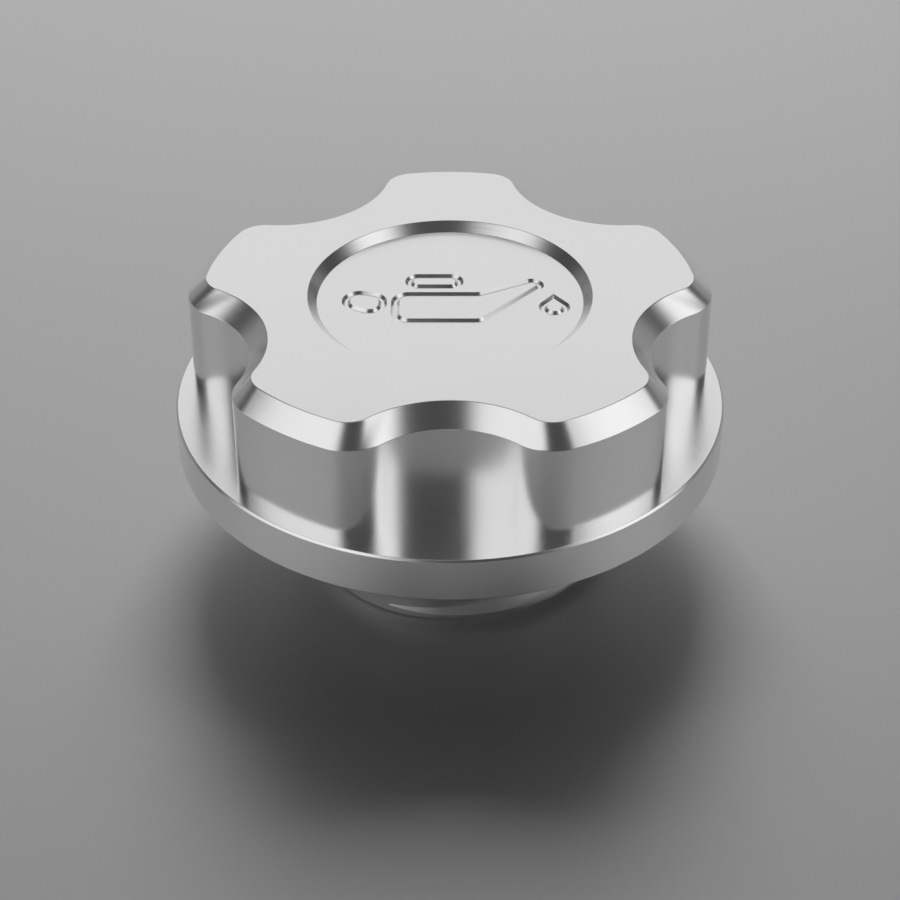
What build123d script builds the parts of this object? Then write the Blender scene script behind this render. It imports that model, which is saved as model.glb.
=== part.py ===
from build123d import *
import os
from math import ceil, cos, radians, sin, tan

# Screw-in oil filler cap: a grip knob, a flange and a threaded neck machined from one bar
# of aluminium, with a rubber seal ring on the neck.
# Millimetres, +Z up along the thread axis. The origin is the centre of the flange's
# underside, the face that comes down on the filler's rim. One scallop faces -Y.

# Flange
flange_radius = 26.74
flange_thickness = 4.55
flange_top_bevel = 0.2
flange_bottom_bevel = 0.2

# Grip knob on top of the flange
knob_height = 11.43
flange_rim_width = 1.29
scallop_count = 5
scallop_radius = 9.1
scallop_centre_outside = 3.67
lobe_corner_radius = 4.56
knob_top_bevel = 1.84

# Shallow dish turned in the top face
dish_radius = 13.57
dish_depth = 0.89
dish_wall_slope = 45

# Threaded neck below the flange
neck_length = 13.07
neck_end_bevel = 0.2
thread_radius = 16.0
thread_pitch = 3.5
thread_flank_angle = 30
thread_start_room = 0.88
thread_end_room = 0.6
thread_start_angle = -118
thread_fade_angle = 90
thread_section_angle = 22.5
thread_root_overlap = 0.4
thread_hidden_depth = 0.05

# Rubber seal, the groove around the neck that holds it and the recess it sits in
seal_thickness = 3.0
seal_flat_depth = 0.45
seal_rim_flat_depth = 0.2
seal_groove_depth = 0.35
seal_recess_depth = 1.0
seal_clearance = 0.05
seal_groove_room = 0.5
seal_recess_room = 0.3

# Sizes that follow from the ones above
lobe_radius = flange_radius - flange_rim_width
scallop_centre_radius = lobe_radius + scallop_centre_outside
knob_top = flange_thickness + knob_height
thread_depth = 0.6134 * thread_pitch
thread_crest_width = thread_pitch / 8
core_radius = thread_radius - thread_depth
seal_groove_radius = core_radius - seal_groove_depth
seal_groove_length = seal_thickness + seal_groove_room - seal_recess_depth
seal_flat_distance = seal_thickness / 2 - seal_flat_depth
seal_height = seal_thickness - seal_flat_depth - seal_rim_flat_depth
seal_centre_radius = seal_groove_radius + seal_clearance + seal_flat_distance
seal_centre_height = seal_recess_depth - seal_clearance - seal_flat_distance
seal_recess_radius = seal_centre_radius + seal_thickness / 2 + seal_recess_room

# The ridge of the thread follows its helix from just above the neck's end to the seal groove
ridge_start_height = -neck_length + thread_start_room
ridge_end_height = -seal_groove_length - seal_groove_depth - thread_end_room
ridge_angle = 360 * (ridge_end_height - ridge_start_height) / thread_pitch
ridge_steps = ceil(ridge_angle / thread_section_angle)

# Thread ridge: 60 degree sections along the helix, rising out of the core over a quarter
# of a turn at the start and sinking back into it at the end
with BuildPart() as thread_ridge:
    for step in range(ridge_steps + 1):
        turned = ridge_angle * step / ridge_steps
        grown = min(1, turned / thread_fade_angle, (ridge_angle - turned) / thread_fade_angle)
        section_crest = core_radius - thread_hidden_depth
        section_crest += grown * (thread_depth + thread_hidden_depth)
        section_root = core_radius - thread_root_overlap
        half_crest = thread_crest_width / 2
        half_root = half_crest + (section_crest - section_root) * tan(radians(thread_flank_angle))
        angle = radians(thread_start_angle + turned)
        section_plane = Plane(
            origin=(0, 0, ridge_start_height + thread_pitch * turned / 360),
            x_dir=(cos(angle), sin(angle), 0),
            z_dir=(sin(angle), -cos(angle), 0),
        )
        with BuildSketch(section_plane):
            with BuildLine():
                Polyline(
                    (section_root, -half_root),
                    (section_crest, -half_crest),
                    (section_crest, half_crest),
                    (section_root, half_root),
                    close=True,
                )
            make_face()
    loft()

# Cap body
with BuildPart() as cap_body:
    # Turned blank: flange, seal recess, seal groove and neck in one profile
    with BuildSketch(Plane.XZ):
        with BuildLine():
            Polyline(
                (0, flange_thickness),
                (flange_radius - flange_top_bevel, flange_thickness),
                (flange_radius, flange_thickness - flange_top_bevel),
                (flange_radius, flange_bottom_bevel),
                (flange_radius - flange_bottom_bevel, 0),
                (seal_recess_radius, 0),
                (seal_recess_radius, seal_recess_depth),
                (seal_groove_radius, seal_recess_depth),
                (seal_groove_radius, -seal_groove_length),
                (core_radius, -seal_groove_length - seal_groove_depth),
                (core_radius, -neck_length + neck_end_bevel),
                (core_radius - neck_end_bevel, -neck_length),
                (0, -neck_length),
                close=True,
            )
        make_face()
    revolve(axis=Axis.Z)

    # Thread
    add(thread_ridge.part)

    # Five-lobed knob, milled around its edge
    with BuildSketch(Plane.XY.offset(flange_thickness)) as knob_outline:
        Circle(lobe_radius)
        with PolarLocations(scallop_centre_radius, scallop_count, start_angle=-90):
            Circle(scallop_radius, mode=Mode.SUBTRACT)
        fillet(knob_outline.vertices(), radius=lobe_corner_radius)
    extrude(amount=knob_height)
    chamfer(cap_body.faces().sort_by(Axis.Z)[-1].edges(), length=knob_top_bevel)

    # Dish in the top face
    with BuildSketch(Plane.XY.offset(knob_top)):
        Circle(dish_radius)
    extrude(amount=-dish_depth, taper=dish_wall_slope, mode=Mode.SUBTRACT)

# Rubber seal: round section, pressed flat where it bears on the groove, on the recess and,
# less deeply, on the filler's rim
with BuildPart() as seal_ring:
    with BuildSketch(Plane.XZ):
        with Locations((seal_centre_radius, seal_centre_height)):
            Circle(seal_thickness / 2)
        with Locations((seal_groove_radius + seal_clearance, seal_recess_depth - seal_clearance)):
            Rectangle(
                seal_thickness,
                seal_height,
                align=(Align.MIN, Align.MAX),
                mode=Mode.INTERSECT,
            )
    revolve(axis=Axis.Z)

cap_body.part.label = "cap_body"
seal_ring.part.label = "seal_ring"

os.makedirs("parts", exist_ok=True)
export_step(cap_body.part, "parts/cap_body.step")
export_step(seal_ring.part, "parts/seal_ring.step")
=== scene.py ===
from math import atan2, ceil, cos, pi, radians, sin, tan
from types import SimpleNamespace

import bmesh
import bpy
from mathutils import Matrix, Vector


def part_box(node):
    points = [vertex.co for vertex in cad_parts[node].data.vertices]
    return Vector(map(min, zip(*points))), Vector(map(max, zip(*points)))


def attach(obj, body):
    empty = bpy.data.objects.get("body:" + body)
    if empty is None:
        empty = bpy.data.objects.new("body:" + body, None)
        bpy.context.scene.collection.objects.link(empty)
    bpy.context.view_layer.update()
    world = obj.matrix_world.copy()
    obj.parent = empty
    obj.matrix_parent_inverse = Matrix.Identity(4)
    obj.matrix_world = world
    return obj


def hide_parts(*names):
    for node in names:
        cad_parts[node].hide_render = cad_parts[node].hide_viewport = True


# A screw-in oil filler cap of machined aluminium with a rubber seal ring, standing neck down on
# a pale studio floor. Metres, +Z up along the thread axis, origin in the middle of the flange's
# underside. The cap's sizes are in millimetres, as on a workshop drawing, and are turned to
# metres on use. The studio's are in metres.

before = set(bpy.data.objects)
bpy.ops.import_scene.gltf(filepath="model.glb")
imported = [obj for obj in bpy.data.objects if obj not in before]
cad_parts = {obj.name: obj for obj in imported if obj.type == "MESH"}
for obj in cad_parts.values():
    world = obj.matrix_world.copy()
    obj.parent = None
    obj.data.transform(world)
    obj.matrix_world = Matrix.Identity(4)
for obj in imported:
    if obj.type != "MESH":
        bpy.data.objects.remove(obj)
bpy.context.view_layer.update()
scene = bpy.context.scene
MM = 0.001

# Flange
FLANGE_RADIUS = 26.74
FLANGE_THICKNESS = 4.55
FLANGE_BEVEL = 0.2

# Grip knob: five scallops milled in its edge, blended into round lobe corners
KNOB_TOP = 15.98
LOBE_RADIUS = 25.45
SCALLOP_COUNT = 5
SCALLOP_RADIUS = 9.1
SCALLOP_CENTRE = 29.12
CORNER_RADIUS = 4.56
KNOB_BEVEL = 1.84

# Dish in the top face
DISH_RADIUS = 13.57
DISH_DEPTH = 0.89

# Neck, and the groove and recess that hold the seal
NECK_LENGTH = 13.07
NECK_BEVEL = 0.2
CORE_RADIUS = 13.8531
RECESS_RADIUS = 16.4031
RECESS_DEPTH = 1.0
GROOVE_RADIUS = 13.5031
GROOVE_LENGTH = 2.5
GROOVE_DEPTH = 0.35

# Thread, and the shares of its depth and width that its fading ends start from
THREAD_RADIUS = 16.0
THREAD_PITCH = 3.5
THREAD_CREST_WIDTH = 0.4375
THREAD_FLANK_ANGLE = 30
THREAD_ROOT_OVERLAP = 0.3
THREAD_START_ANGLE = -118
THREAD_START_HEIGHT = -12.19
THREAD_END_HEIGHT = -3.45
THREAD_FADE_ANGLE = 90
THREAD_END_DEPTH = 0.14
THREAD_END_WIDTH = 0.2

# Broken edges left by the deburring tool, the steps each is drawn in and the points beside it
KNOB_EDGE_ROUND = 0.14
DISH_EDGE_ROUND = 0.1
SMALL_EDGE_ROUND = 0.06
ROUND_STEPS = 4
EDGE_MARGIN = 0.03

# Engraved oil can in the dish: each line is a groove with sloping sides
ENGRAVING_WIDTH = 0.8
ENGRAVING_DEPTH = 0.26
ENGRAVING_RISE = 0.1
ENGRAVING_SHIFT = 0.2
ENGRAVING_CORNER = 0.65
ENGRAVING_STEPS = 8
LID_CORNER = 0.85
DROP_PLACE = (9.9, -1.5)
DROP_RADIUS = 1.1
DROP_TIP = 1.75
DROP_DEGREES = range(150, 391, 20)

# Fineness of the meshes: columns round the axis, and angles in degrees
COLUMNS = 720
THREAD_STATION_ANGLE = 3
SHARP_ANGLE = 28

# Tolerances: a share, an angle in radians, one distance in millimetres and one in metres
SHARPEST_MITRE = 0.5
THREAD_TIP_ANGLE = 1e-4
SAME_PLACE = 0.001
MERGE_DISTANCE = 1e-6

# Finish of the metal: lines and specks per metre, and two sizes in millimetres
TURNING_SCALE = 5200
MILLING_SCALE = 3600
GRAIN_SCALE = 9000
CLOUD_SCALE = 140
MILLING_RADIUS = 22.0
MILLING_START = 0.05

# Finish of the rubber and of the floor: specks per metre
SKIN_SCALE = 7000
MOTTLE_SCALE = 260
PAINT_SCALE = 9

# Camera
CAMERA_PLACE = (0.0, -0.1811, 0.12806)
CAMERA_PITCH = radians(35.8)
CAMERA_LENS = 89.39

# Studio: a flat floor swept up into a wall, its pale backdrop and the light of the room
FLOOR_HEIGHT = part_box("cap_body")[0].z
FLOOR_RINGS = (0.1, 0.3, 0.6, 1.0, 1.5)
FLOOR_SIDES = 96
SWEEP_RADIUS = 0.8
SWEEP_STEPS = 12
WALL_TOP = 2.0
BACKDROP_LEVEL = 0.23
BACKDROP_RADII = (0.2, 0.55)
BACKDROP_HEIGHTS = (1.0, 0.5)
PANEL_COLUMNS = 24
PANEL_ROWS = 12
ROOM_COLOUR = (0.05, 0.05, 0.052, 1)


class Value:
    """A socket of a node tree that can be worked with in plain arithmetic."""

    def __init__(self, tree, socket):
        self.tree = tree
        self.socket = socket

    def plug(self, target):
        self.tree.links.new(self.socket, target)

    def node(self, operation, *others):
        node = self.tree.nodes.new("ShaderNodeMath")
        node.operation = operation
        for target, source in zip(node.inputs, (self, *others)):
            if isinstance(source, Value):
                source.plug(target)
            else:
                target.default_value = source
        return Value(self.tree, node.outputs[0])

    def __add__(self, other):
        return self.node("ADD", other)

    def __sub__(self, other):
        return self.node("SUBTRACT", other)

    def __mul__(self, other):
        return self.node("MULTIPLY", other)

    def __truediv__(self, other):
        return self.node("DIVIDE", other)

    def root(self):
        return self.node("MAXIMUM", 0.0).node("SQRT")

    def choose(self, low, high):
        """Low where this value is 0, high where it is 1."""
        return low + self * (high - low)


def rounded(points, steps, margin):
    """Draw a path through the points (x, y, round), with each corner rounded by its own round.
    A margin adds one more point a little before and after each round, which keeps the faces
    beside it flat."""
    path = []
    for k, (x, y, size) in enumerate(points):
        corner = Vector((x, y))
        if not size:
            path.append(corner)
            continue
        before = (Vector(points[k - 1][:2]) - corner).normalized()
        after = (Vector(points[(k + 1) % len(points)][:2]) - corner).normalized()
        half = before.angle(after) / 2
        reach = size / tan(half)
        centre = corner + (before + after).normalized() * size / sin(half)
        first = corner + before * reach - centre
        last = corner + after * reach - centre
        sweep = atan2(first.cross(last), first.dot(last))
        if margin:
            path.append(corner + before * (reach + margin))
        for step in range(steps + 1):
            angle = sweep * step / steps
            x_turned = first.x * cos(angle) - first.y * sin(angle)
            y_turned = first.x * sin(angle) + first.y * cos(angle)
            path.append(centre + Vector((x_turned, y_turned)))
        if margin:
            path.append(corner + after * (reach + margin))
    return path


def cap_profile():
    """Half section of the cap from the dish's centre to the end of the neck, as points
    (x, lobed, z). Where lobed is 1 the ring follows the knob's outline, else it is round."""
    knob, dish, small = KNOB_EDGE_ROUND, DISH_EDGE_ROUND, SMALL_EDGE_ROUND
    dish_floor = KNOB_TOP - DISH_DEPTH
    top_edge = LOBE_RADIUS - KNOB_BEVEL
    drawn = [
        (0.0, dish_floor, 0),
        (DISH_RADIUS - DISH_DEPTH, dish_floor, dish),
        (DISH_RADIUS, KNOB_TOP, dish),
        (top_edge, KNOB_TOP, knob),
        (LOBE_RADIUS, KNOB_TOP - KNOB_BEVEL, knob),
        (LOBE_RADIUS, FLANGE_THICKNESS, 0),
        (FLANGE_RADIUS - FLANGE_BEVEL, FLANGE_THICKNESS, small),
        (FLANGE_RADIUS, FLANGE_THICKNESS - FLANGE_BEVEL, small),
        (FLANGE_RADIUS, FLANGE_BEVEL, small),
        (FLANGE_RADIUS - FLANGE_BEVEL, 0.0, small),
        (RECESS_RADIUS, 0.0, small),
        (RECESS_RADIUS, RECESS_DEPTH, 0),
        (GROOVE_RADIUS, RECESS_DEPTH, 0),
        (GROOVE_RADIUS, -GROOVE_LENGTH, 0),
        (CORE_RADIUS, -GROOVE_LENGTH - GROOVE_DEPTH, small),
        (CORE_RADIUS, -NECK_LENGTH + NECK_BEVEL, small),
        (CORE_RADIUS - NECK_BEVEL, -NECK_LENGTH, small),
        (0.0, -NECK_LENGTH, 0),
    ]
    # The outline holds from just inside the round of the top edge down to the flange
    innermost = top_edge - 3 * knob
    points = []
    for point in rounded(drawn, ROUND_STEPS, EDGE_MARGIN):
        on_knob = innermost < point.x < LOBE_RADIUS + SAME_PLACE
        above_flange = point.y > FLANGE_THICKNESS - SAME_PLACE
        points.append((point.x * MM, float(on_knob and above_flange), point.y * MM))
    return points


def start_tree(name, sizes):
    """A geometry tree with the drawn line as its geometry and one named input per size. Gives
    the tree, its input node and the sizes as values to work with."""
    tree = bpy.data.node_groups.new(name, "GeometryNodeTree")
    tree.interface.new_socket("Geometry", in_out="INPUT", socket_type="NodeSocketGeometry")
    tree.interface.new_socket("Geometry", in_out="OUTPUT", socket_type="NodeSocketGeometry")
    for size_name, value in sizes.items():
        kind = "NodeSocketInt" if isinstance(value, int) else "NodeSocketFloat"
        socket = tree.interface.new_socket(size_name, in_out="INPUT", socket_type=kind)
        socket.default_value = value
    tree.interface.new_socket("Material", in_out="INPUT", socket_type="NodeSocketMaterial")
    entry = tree.nodes.new("NodeGroupInput")
    return tree, entry, {size_name: Value(tree, entry.outputs[size_name]) for size_name in sizes}


def sheet_over_line(tree, entry, columns):
    """A grid with one column per station and one row per point of the drawn line. Gives the
    grid, the station's place from 0 to 1 and the drawn point of each row."""
    size = tree.nodes.new("GeometryNodeAttributeDomainSize")
    size.component = "MESH"
    tree.links.new(entry.outputs["Geometry"], size.inputs[0])
    rows = Value(tree, size.outputs["Point Count"])
    grid = tree.nodes.new("GeometryNodeMeshGrid")
    columns.plug(grid.inputs["Vertices X"])
    rows.plug(grid.inputs["Vertices Y"])
    index = Value(tree, tree.nodes.new("GeometryNodeInputIndex").outputs[0])
    station = (index / rows).node("FLOOR") / (columns - 1.0)
    row = index.node("MODULO", rows)
    place = tree.nodes.new("GeometryNodeInputPosition")
    sample = tree.nodes.new("GeometryNodeSampleIndex")
    sample.data_type = "FLOAT_VECTOR"
    tree.links.new(entry.outputs["Geometry"], sample.inputs["Geometry"])
    tree.links.new(place.outputs[0], sample.inputs["Value"])
    row.plug(sample.inputs["Index"])
    split = tree.nodes.new("ShaderNodeSeparateXYZ")
    tree.links.new(sample.outputs["Value"], split.inputs[0])
    drawn = [Value(tree, socket) for socket in split.outputs]
    return grid, station, drawn


def finish_tree(tree, entry, grid, radius, turn, height):
    """Move the grid's points to their places round the axis, close its seams and poles, and
    give it its material."""
    place = tree.nodes.new("ShaderNodeCombineXYZ")
    (radius * turn.node("COSINE")).plug(place.inputs["X"])
    (radius * turn.node("SINE")).plug(place.inputs["Y"])
    height.plug(place.inputs["Z"])
    move = tree.nodes.new("GeometryNodeSetPosition")
    merge = tree.nodes.new("GeometryNodeMergeByDistance")
    realize = tree.nodes.new("GeometryNodeRealizeInstances")
    paint = tree.nodes.new("GeometryNodeSetMaterial")
    leave = tree.nodes.new("NodeGroupOutput")
    merge.inputs["Distance"].default_value = MERGE_DISTANCE
    tree.links.new(place.outputs[0], move.inputs["Position"])
    tree.links.new(entry.outputs["Material"], paint.inputs["Material"])
    tree.links.new(grid.outputs["Mesh"], move.inputs["Geometry"])
    for before, after in ((move, merge), (merge, realize), (realize, paint), (paint, leave)):
        tree.links.new(before.outputs[0], after.inputs[0])


def lobed_turning_tree():
    """Turns the drawn half section once round the axis. Rings marked as lobed follow the
    knob's outline: round lobes, round corners and the scallops between them."""
    tree, entry, size = start_tree("lobed_turning", {
        "Columns": COLUMNS,
        "Scallops": SCALLOP_COUNT,
        "Lobe Radius": LOBE_RADIUS * MM,
        "Scallop Radius": SCALLOP_RADIUS * MM,
        "Scallop Centre": SCALLOP_CENTRE * MM,
        "Corner Radius": CORNER_RADIUS * MM,
    })
    grid, station, (radius, lobed, height) = sheet_over_line(tree, entry, size["Columns"] + 1.0)
    lobe, scallop = size["Lobe Radius"], size["Scallop Radius"]
    centre, corner = size["Scallop Centre"], size["Corner Radius"]
    turn = station * (2 * pi)
    # Angle from the middle of the nearest scallop, one of which faces -Y
    half_share = size["Scallops"].node("POWER", -1.0) * pi
    folded = (turn + pi / 2).node("PINGPONG", half_share)
    # Triangle between the axis, the scallop's centre and the corner's centre
    corner_centre = lobe - corner
    reach = scallop + corner
    squares = centre * centre + corner_centre * corner_centre - reach * reach
    cosine = squares / (centre * corner_centre * 2.0)
    corner_angle = cosine.node("ARCCOSINE")
    # Each ring lies inside the outline by its inset
    inset = lobe - radius
    ring_scallop = scallop + inset
    ring_corner = corner - inset
    share = ring_scallop / reach
    touch_x = centre + (corner_centre * cosine - centre) * share
    touch_y = corner_centre * corner_angle.node("SINE") * share
    touch_angle = touch_y.node("ARCTAN2", touch_x)
    # Distance from the axis to the scallop and to the corner, at this angle
    across = centre * folded.node("SINE")
    hollow = (ring_scallop * ring_scallop - across * across).root()
    on_scallop = centre * folded.node("COSINE") - hollow
    past = folded - corner_angle
    off = corner_centre * past.node("SINE")
    bulge = (ring_corner * ring_corner - off * off).root()
    on_corner = corner_centre * past.node("COSINE") + bulge
    past_touch = folded.node("GREATER_THAN", touch_angle)
    past_corner = folded.node("GREATER_THAN", corner_angle)
    outline = past_corner.choose(past_touch.choose(on_scallop, on_corner), radius)
    finish_tree(tree, entry, grid, lobed.choose(radius, outline), turn, height)
    return tree


def thread_ridge_tree():
    """Carries the drawn section of the thread along its helix. It grows out of the core over
    the fade angle at the start and sinks back into it at the end."""
    whole_turn = 360 * (THREAD_END_HEIGHT - THREAD_START_HEIGHT) / THREAD_PITCH
    tree, entry, size = start_tree("thread_ridge", {
        "Stations": ceil(whole_turn / THREAD_STATION_ANGLE),
        "Root Radius": (CORE_RADIUS - THREAD_ROOT_OVERLAP) * MM,
        "Pitch": THREAD_PITCH * MM,
        "Start Angle": radians(THREAD_START_ANGLE),
        "Start Height": THREAD_START_HEIGHT * MM,
        "Whole Turn": radians(whole_turn),
        "Fade Angle": radians(THREAD_FADE_ANGLE),
    })
    grid, station, (out, _, up) = sheet_over_line(tree, entry, size["Stations"] + 1.0)
    turned = size["Whole Turn"] * station
    near_end = turned.node("MINIMUM", size["Whole Turn"] - turned)
    grown = (near_end / size["Fade Angle"]).node("MINIMUM", 1.0)
    # Both ends close to a point inside the core
    open_end = near_end.node("GREATER_THAN", THREAD_TIP_ANGLE)
    deep = (grown * (1 - THREAD_END_DEPTH) + THREAD_END_DEPTH) * open_end
    wide = (grown * (1 - THREAD_END_WIDTH) + THREAD_END_WIDTH) * open_end
    radius = size["Root Radius"] + out * deep
    climb = size["Pitch"] * turned / (2 * pi)
    height = size["Start Height"] + climb + up * wide
    finish_tree(tree, entry, grid, radius, size["Start Angle"] + turned, height)
    return tree


def object_from(name, data):
    piece = bpy.data.objects.new(name, data)
    scene.collection.objects.link(piece)
    return piece


def mesh_from(name, bm, material):
    """A mesh with one material from a bmesh, which is then freed."""
    mesh = bpy.data.meshes.new(name)
    bm.to_mesh(mesh)
    bm.free()
    mesh.materials.append(material)
    return mesh


def evaluated_mesh(piece):
    depsgraph = bpy.context.evaluated_depsgraph_get()
    return bpy.data.meshes.new_from_object(piece.evaluated_get(depsgraph))


def face_outwards(mesh):
    bm = bmesh.new()
    bm.from_mesh(mesh)
    bmesh.ops.recalc_face_normals(bm, faces=bm.faces)
    if bm.calc_volume(signed=True) < 0:
        bmesh.ops.reverse_faces(bm, faces=bm.faces)
    bm.to_mesh(mesh)
    bm.free()


def grow(name, line, tree, material):
    """Run a geometry tree on a drawn line and keep the result as a plain mesh."""
    drawn = bpy.data.meshes.new(name + "_line")
    drawn.from_pydata(line, [(k, k + 1) for k in range(len(line) - 1)], [])
    maker = object_from(name + "_line", drawn)
    modifier = maker.modifiers.new("shape", "NODES")
    modifier.node_group = tree
    for socket in tree.interface.items_tree:
        if socket.in_out == "INPUT" and socket.name == "Material":
            modifier[socket.identifier] = material
    mesh = evaluated_mesh(maker)
    bpy.data.objects.remove(maker)
    mesh.name = name
    face_outwards(mesh)
    return object_from(name, mesh)


def cut(piece, other, operation):
    """Join or take away another closed piece, which is then gone."""
    modifier = piece.modifiers.new(operation, "BOOLEAN")
    modifier.operation = operation
    modifier.solver = "EXACT"
    modifier.object = other
    mesh = evaluated_mesh(piece)
    piece.modifiers.clear()
    piece.data = mesh
    bpy.data.objects.remove(other)


def beside(path, distance):
    """The closed path moved sideways by a distance, outwards for a path drawn anticlockwise."""
    moved = []
    for k, point in enumerate(path):
        into = (point - path[k - 1]).normalized()
        out = (path[(k + 1) % len(path)] - point).normalized()
        side = Vector((into.y, -into.x))
        normal = (side + Vector((out.y, -out.x))).normalized()
        moved.append(point + normal * distance / max(SHARPEST_MITRE, normal.dot(side)))
    return moved


def engraving_lines():
    """The oil can, its handle, its lid and a drop at its spout, as closed lines in the dish."""
    small, large, lid_round = ENGRAVING_CORNER, 2 * ENGRAVING_CORNER, LID_CORNER
    can = [(-5.2, -3.9, large), (3.0, -3.9, large), (8.9, 2.5, small), (8.0, 3.4, small),
           (2.8, 0.8, large), (-5.2, 0.8, large)]
    handle = [(-6.4, -3.1, large), (-6.4, 0.6, large), (-9.9, 1.3, large), (-9.9, -1.3, large)]
    lid = [(-3.9, 2.2, lid_round), (0.9, 2.2, lid_round), (0.9, 4.1, lid_round),
           (-3.9, 4.1, lid_round)]
    middle = Vector(DROP_PLACE)
    drop = [middle + Vector((0, DROP_TIP))]
    for degrees in DROP_DEGREES:
        turn = radians(degrees)
        drop.append(middle + Vector((cos(turn), sin(turn))) * DROP_RADIUS)
    return [rounded(line, ENGRAVING_STEPS, 0) for line in (can, handle, lid)] + [drop]


def engraving_cutter(material):
    """A closed ring with sloping sides along each engraved line, which stands a little out of
    the dish's floor."""
    floor = KNOB_TOP - DISH_DEPTH
    half = ENGRAVING_WIDTH / 2
    section = (
        (half + ENGRAVING_RISE, ENGRAVING_RISE),
        (half - ENGRAVING_DEPTH, -ENGRAVING_DEPTH),
        (ENGRAVING_DEPTH - half, -ENGRAVING_DEPTH),
        (-half - ENGRAVING_RISE, ENGRAVING_RISE),
    )
    bm = bmesh.new()
    for line in engraving_lines():
        if sum(a.cross(b) for a, b in zip(line, line[1:] + line[:1])) < 0:
            line.reverse()
        loops = []
        for aside, height in section:
            z = (floor + height) * MM
            path = [(p.x * MM, (p.y + ENGRAVING_SHIFT) * MM, z) for p in beside(line, aside)]
            loops.append([bm.verts.new(point) for point in path])
        for loop, other in zip(loops, loops[1:] + loops[:1]):
            for k in range(len(line)):
                j = (k + 1) % len(line)
                bm.faces.new((loop[k], loop[j], other[j], other[k]))
    mesh = mesh_from("engraving", bm, material)
    face_outwards(mesh)
    return object_from("engraving", mesh)


def make_cap(material):
    """The cap body: the turned and milled blank, then its thread, then its engraving."""
    cap = grow("filler_cap", cap_profile(), lobed_turning_tree(), material)
    reach = THREAD_RADIUS - CORE_RADIUS + THREAD_ROOT_OVERLAP
    crest = THREAD_CREST_WIDTH / 2
    root = crest + reach * tan(radians(THREAD_FLANK_ANGLE))
    section = [(0, -root), (reach, -crest), (reach, crest), (0, root), (0, -root)]
    line = [(out * MM, 0, up * MM) for out, up in section]
    cut(cap, grow("thread_ridge", line, thread_ridge_tree(), material), "UNION")
    cut(cap, engraving_cutter(material), "DIFFERENCE")
    mesh = cap.data
    mesh.name = "filler_cap"
    mesh.polygons.foreach_set("use_smooth", [True] * len(mesh.polygons))
    mesh.set_sharp_from_angle(angle=radians(SHARP_ANGLE))
    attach(cap, "root")
    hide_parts("cap_body")


def make_camera():
    data = bpy.data.cameras.new("camera")
    data.lens = CAMERA_LENS
    data.sensor_width = 36.0
    data.clip_start = 0.01
    camera = object_from("camera", data)
    camera.location = CAMERA_PLACE
    camera.rotation_euler = (pi / 2 - CAMERA_PITCH, 0, 0)
    scene.camera = camera


def principled(name, base_color, **sockets):
    material = bpy.data.materials.new(name)
    material.use_nodes = True
    shader = material.node_tree.nodes["Principled BSDF"]
    shader.inputs["Base Color"].default_value = (*base_color, 1)
    for socket, value in sockets.items():
        shader.inputs[socket].default_value = value
    return material, material.node_tree, shader


def place_on_piece(tree):
    """The point's place on the piece: the vector, x, y and z, and the distance from the axis."""
    texture = tree.nodes.new("ShaderNodeTexCoord")
    split = tree.nodes.new("ShaderNodeSeparateXYZ")
    vector = texture.outputs["Object"]
    tree.links.new(vector, split.inputs[0])
    x, y, z = (Value(tree, socket) for socket in split.outputs)
    return SimpleNamespace(vector=vector, x=x, y=y, z=z, radius=(x * x + y * y).root())


def noise(tree, scale, detail, place):
    """Cloudy noise in space, or along a single value."""
    node = tree.nodes.new("ShaderNodeTexNoise")
    node.inputs["Scale"].default_value = scale
    node.inputs["Detail"].default_value = detail
    if isinstance(place, Value):
        node.noise_dimensions = "1D"
        place.plug(node.inputs["W"])
    else:
        tree.links.new(place, node.inputs["Vector"])
    return Value(tree, node.outputs["Fac"])


def band(value, low, high):
    """Rises smoothly from 0 at low to 1 at high, which may be the smaller of the two."""
    node = value.tree.nodes.new("ShaderNodeMapRange")
    node.interpolation_type = "SMOOTHSTEP"
    node.inputs["From Min"].default_value = low
    node.inputs["From Max"].default_value = high
    value.plug(node.inputs["Value"])
    return Value(value.tree, node.outputs["Result"])


def bump(tree, shader, height, strength, distance):
    node = tree.nodes.new("ShaderNodeBump")
    node.inputs["Strength"].default_value = strength
    node.inputs["Distance"].default_value = distance
    height.plug(node.inputs["Height"])
    tree.links.new(node.outputs[0], shader.inputs["Normal"])


def tint(tree, shader, amount, dark, light):
    node = tree.nodes.new("ShaderNodeMix")
    node.data_type = "RGBA"
    colours = [socket for socket in node.inputs if socket.type == "RGBA"]
    colours[0].default_value = (*dark, 1)
    colours[1].default_value = (*light, 1)
    amount.plug(node.inputs["Factor"])
    result = [socket for socket in node.outputs if socket.type == "RGBA"][0]
    tree.links.new(result, shader.inputs["Base Color"])


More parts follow.
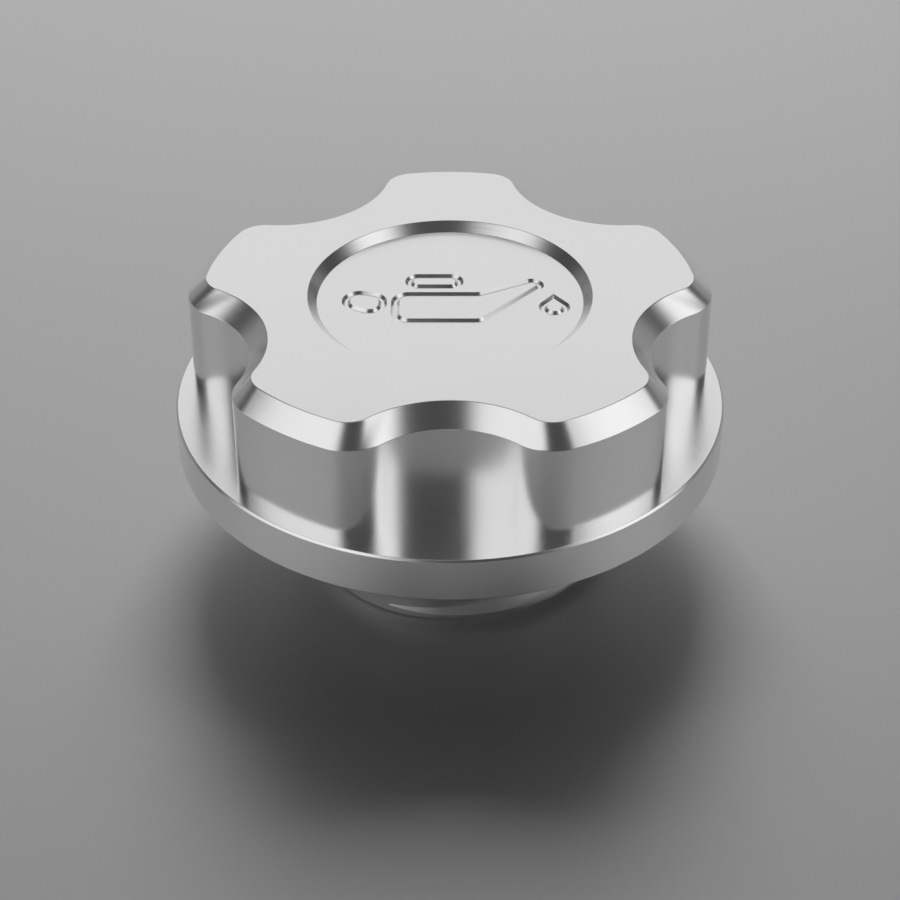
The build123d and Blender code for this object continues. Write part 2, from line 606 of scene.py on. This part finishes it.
def aluminium_finish():
    """Bright turned and milled aluminium: faint rings round the axis on the flat faces, lines
    along the edge on bevels and turned sides, upright lines on the milled sides of the knob,
    and slight cloudiness from handling."""
    material, tree, shader = principled("machined_aluminium", (0.94, 0.938, 0.94), Metallic=1.0)
    place = place_on_piece(tree)
    facing = tree.nodes.new("ShaderNodeNewGeometry")
    split = tree.nodes.new("ShaderNodeSeparateXYZ")
    tree.links.new(facing.outputs["True Normal"], split.inputs[0])
    # 1 on a level face, 0 on an upright one
    slope = Value(tree, split.outputs["Z"]).node("ABSOLUTE")
    level = band(slope, 0.78, 0.92)
    upright = band(slope, 0.5, 0.2)
    on_knob = band(place.z, FLANGE_THICKNESS * MM, (FLANGE_THICKNESS + MILLING_START) * MM)
    around = place.y.node("ARCTAN2", place.x) * (MILLING_RADIUS * MM)
    rings = noise(tree, TURNING_SCALE, 1, place.radius)
    turned_side = noise(tree, TURNING_SCALE, 1, place.z)
    milled_side = noise(tree, MILLING_SCALE, 1, around)
    marks = level.choose((on_knob * upright).choose(turned_side, milled_side), rings)
    grain = noise(tree, GRAIN_SCALE, 0, place.vector)
    cloud = noise(tree, CLOUD_SCALE, 1, place.vector)
    (marks * 0.03 + cloud * 0.05 + 0.205).plug(shader.inputs["Roughness"])
    bump(tree, shader, marks * 0.75 + grain * 0.25, strength=0.32, distance=0.01 * MM)
    tint(tree, shader, cloud * 0.6 + marks * 0.4, dark=(0.92, 0.917, 0.924), light=(0.962, 0.958, 0.96))
    return material


def rubber_finish():
    """Black nitrile rubber, slightly mottled and dusty, with the fine skin of its mould."""
    material, tree, shader = principled("seal_rubber", (0.025, 0.025, 0.027))
    place = place_on_piece(tree)
    skin = noise(tree, SKIN_SCALE, 3, place.vector)
    cloud = noise(tree, MOTTLE_SCALE, 3, place.vector)
    (cloud * 0.18 + skin * 0.08 + 0.36).plug(shader.inputs["Roughness"])
    bump(tree, shader, skin * 0.6 + cloud * 0.4, strength=0.25, distance=0.04 * MM)
    tint(tree, shader, cloud, dark=(0.017, 0.017, 0.018), light=(0.042, 0.041, 0.042))
    return material


def floor_finish():
    """Pale painted floor. Far from the cap and low on the wall it also glows, as a pale backdrop
    that only the camera, metal and glass see: it lights nothing matt."""
    material, tree, shader = principled("pale_floor", (0.6, 0.6, 0.603), IOR=1.8)
    place = place_on_piece(tree)
    cloud = noise(tree, PAINT_SCALE, 0, place.vector)
    (cloud * 0.06 + 0.35).plug(shader.inputs["Roughness"])
    tint(tree, shader, cloud, dark=(0.585, 0.585, 0.588), light=(0.615, 0.615, 0.618))
    path = tree.nodes.new("ShaderNodeLightPath")
    seen = Value(tree, path.outputs["Is Camera Ray"]) + Value(tree, path.outputs["Is Glossy Ray"])
    seen = (seen + Value(tree, path.outputs["Is Transmission Ray"])).node("MINIMUM", 1.0)
    far = band(place.radius, *BACKDROP_RADII)
    low = band(place.z, *BACKDROP_HEIGHTS)
    (seen * far * low * BACKDROP_LEVEL).plug(shader.inputs["Emission Strength"])
    shader.inputs["Emission Color"].default_value = (1, 1, 1, 1)
    material.cycles.emission_sampling = "NONE"
    return material


def make_floor():
    """A round floor that sweeps up into the wall of the studio all round."""
    flat_radius = FLOOR_RINGS[-1]
    profile = [(ring_radius, 0.0) for ring_radius in FLOOR_RINGS]
    for step in range(1, SWEEP_STEPS + 1):
        turn = step / SWEEP_STEPS * pi / 2
        profile.append((flat_radius + SWEEP_RADIUS * sin(turn), SWEEP_RADIUS * (1 - cos(turn))))
    profile.append((flat_radius + SWEEP_RADIUS, WALL_TOP))
    turns = [2 * pi * k / FLOOR_SIDES for k in range(FLOOR_SIDES)]
    bm = bmesh.new()
    centre = bm.verts.new((0, 0, FLOOR_HEIGHT))
    rings = []
    for radius, height in profile:
        z = FLOOR_HEIGHT + height
        rings.append([bm.verts.new((radius * cos(a), radius * sin(a), z)) for a in turns])
    for i in range(FLOOR_SIDES):
        j = (i + 1) % FLOOR_SIDES
        bm.faces.new((centre, rings[0][i], rings[0][j]))
        for inner, outer in zip(rings, rings[1:]):
            bm.faces.new((inner[i], outer[i], outer[j], inner[j]))
    for face in bm.faces:
        face.smooth = True
    floor = object_from("floor", mesh_from("floor", bm, floor_finish()))


def panel_glow(name, wide, tall, radiance, fades):
    """Light from the front of a panel, which fades over the given angles at its left, right,
    lower and upper edge."""
    material = bpy.data.materials.new(name)
    material.use_nodes = True
    tree = material.node_tree
    tree.nodes.clear()
    output = tree.nodes.new("ShaderNodeOutputMaterial")
    glow = tree.nodes.new("ShaderNodeEmission")
    place = tree.nodes.new("ShaderNodeTexCoord")
    split = tree.nodes.new("ShaderNodeSeparateXYZ")
    side = tree.nodes.new("ShaderNodeNewGeometry")
    tree.links.new(place.outputs["UV"], split.inputs[0])
    u = Value(tree, split.outputs["X"])
    v = Value(tree, split.outputs["Y"])
    left, right, lower, upper = fades
    strength = band(u, 0, left / wide) * band(u, 1, 1 - right / wide)
    strength = strength * band(v, 0, lower / tall) * band(v, 1, 1 - upper / tall)
    strength = strength * band(Value(tree, side.outputs["Backfacing"]), 1, 0) * radiance
    strength.plug(glow.inputs["Strength"])
    tree.links.new(glow.outputs[0], output.inputs["Surface"])
    return material


def soft_panel(name, azimuths, elevations, distance, radiance, fades, lights_floor=False):
    """A curved sheet of lit diffuser round the cap, placed in degrees, with azimuth 0 on the
    camera's side. A panel that doesn't light the floor is seen by shiny surfaces alone, which
    leaves the floor its soft shadow."""
    wide = azimuths[1] - azimuths[0]
    tall = elevations[1] - elevations[0]
    bm = bmesh.new()
    uv = bm.loops.layers.uv.new("UVMap")
    grid = []
    for row in range(PANEL_ROWS + 1):
        up = radians(elevations[0] + tall * row / PANEL_ROWS)
        grid.append([])
        for column in range(PANEL_COLUMNS + 1):
            turn = radians(azimuths[0] + wide * column / PANEL_COLUMNS)
            direction = Vector((cos(up) * sin(turn), -cos(up) * cos(turn), sin(up)))
            grid[row].append(bm.verts.new(direction * distance))
    for j in range(PANEL_ROWS):
        for i in range(PANEL_COLUMNS):
            corners = ((i, j), (i, j + 1), (i + 1, j + 1), (i + 1, j))
            face = bm.faces.new([grid[row][column] for column, row in corners])
            for loop, (column, row) in zip(face.loops, corners):
                loop[uv].uv = (column / PANEL_COLUMNS, row / PANEL_ROWS)
    bm.normal_update()
    bm.faces.ensure_lookup_table()
    if bm.faces[0].normal.dot(bm.faces[0].calc_center_median()) > 0:
        bmesh.ops.reverse_faces(bm, faces=bm.faces)
    material = panel_glow(name, wide, tall, radiance, fades)
    material.cycles.emission_sampling = "AUTO" if lights_floor else "NONE"
    panel = object_from(name, mesh_from(name, bm, material))
    panel.visible_camera = False
    panel.visible_shadow = False
    panel.visible_diffuse = lights_floor


def top_lamp(place, aim, size, spread, energy):
    """A square lamp over the floor behind the cap, with a grid that narrows its beam."""
    data = bpy.data.lights.new("top_lamp", "AREA")
    data.shape = "SQUARE"
    data.size = size
    data.spread = radians(spread)
    data.energy = energy
    lamp = object_from("top_lamp", data)
    lamp.location = place
    lamp.rotation_euler = (Vector(place) - Vector(aim)).to_track_quat("Z", "Y").to_euler()
    lamp.visible_camera = False
    lamp.visible_glossy = False


def make_studio():
    """Soft panels round the cap, a lamp over it and a faint even light from all round."""
    soft_panel("left_panel", azimuths=(-98, -12), elevations=(6, 66), distance=0.45,
               radiance=0.88, fades=(14, 22, 8, 8))
    soft_panel("right_panel", azimuths=(48, 105), elevations=(6, 66), distance=0.45,
               radiance=1.01, fades=(16, 14, 8, 8))
    soft_panel("back_panel", azimuths=(140, 224), elevations=(6, 64), distance=0.55,
               radiance=0.765, fades=(14, 12, 10, 28), lights_floor=True)
    soft_panel("overhead_panel", azimuths=(120, 240), elevations=(50, 98), distance=0.5,
               radiance=0.62, fades=(20, 20, 14, 6))
    top_lamp(place=(0, 0.36, 0.4), aim=(0, 0.05, FLOOR_HEIGHT), size=0.25, spread=120, energy=0.66)
    world = bpy.data.worlds.new("studio")
    world.use_nodes = True
    world.node_tree.nodes["Background"].inputs["Color"].default_value = ROOM_COLOUR
    scene.world = world
    scene.view_settings.view_transform = "Standard"


make_camera()
make_floor()
make_cap(aluminium_finish())
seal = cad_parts["seal_ring"]
seal.data.materials.clear()
seal.data.materials.append(rubber_finish())
make_studio()
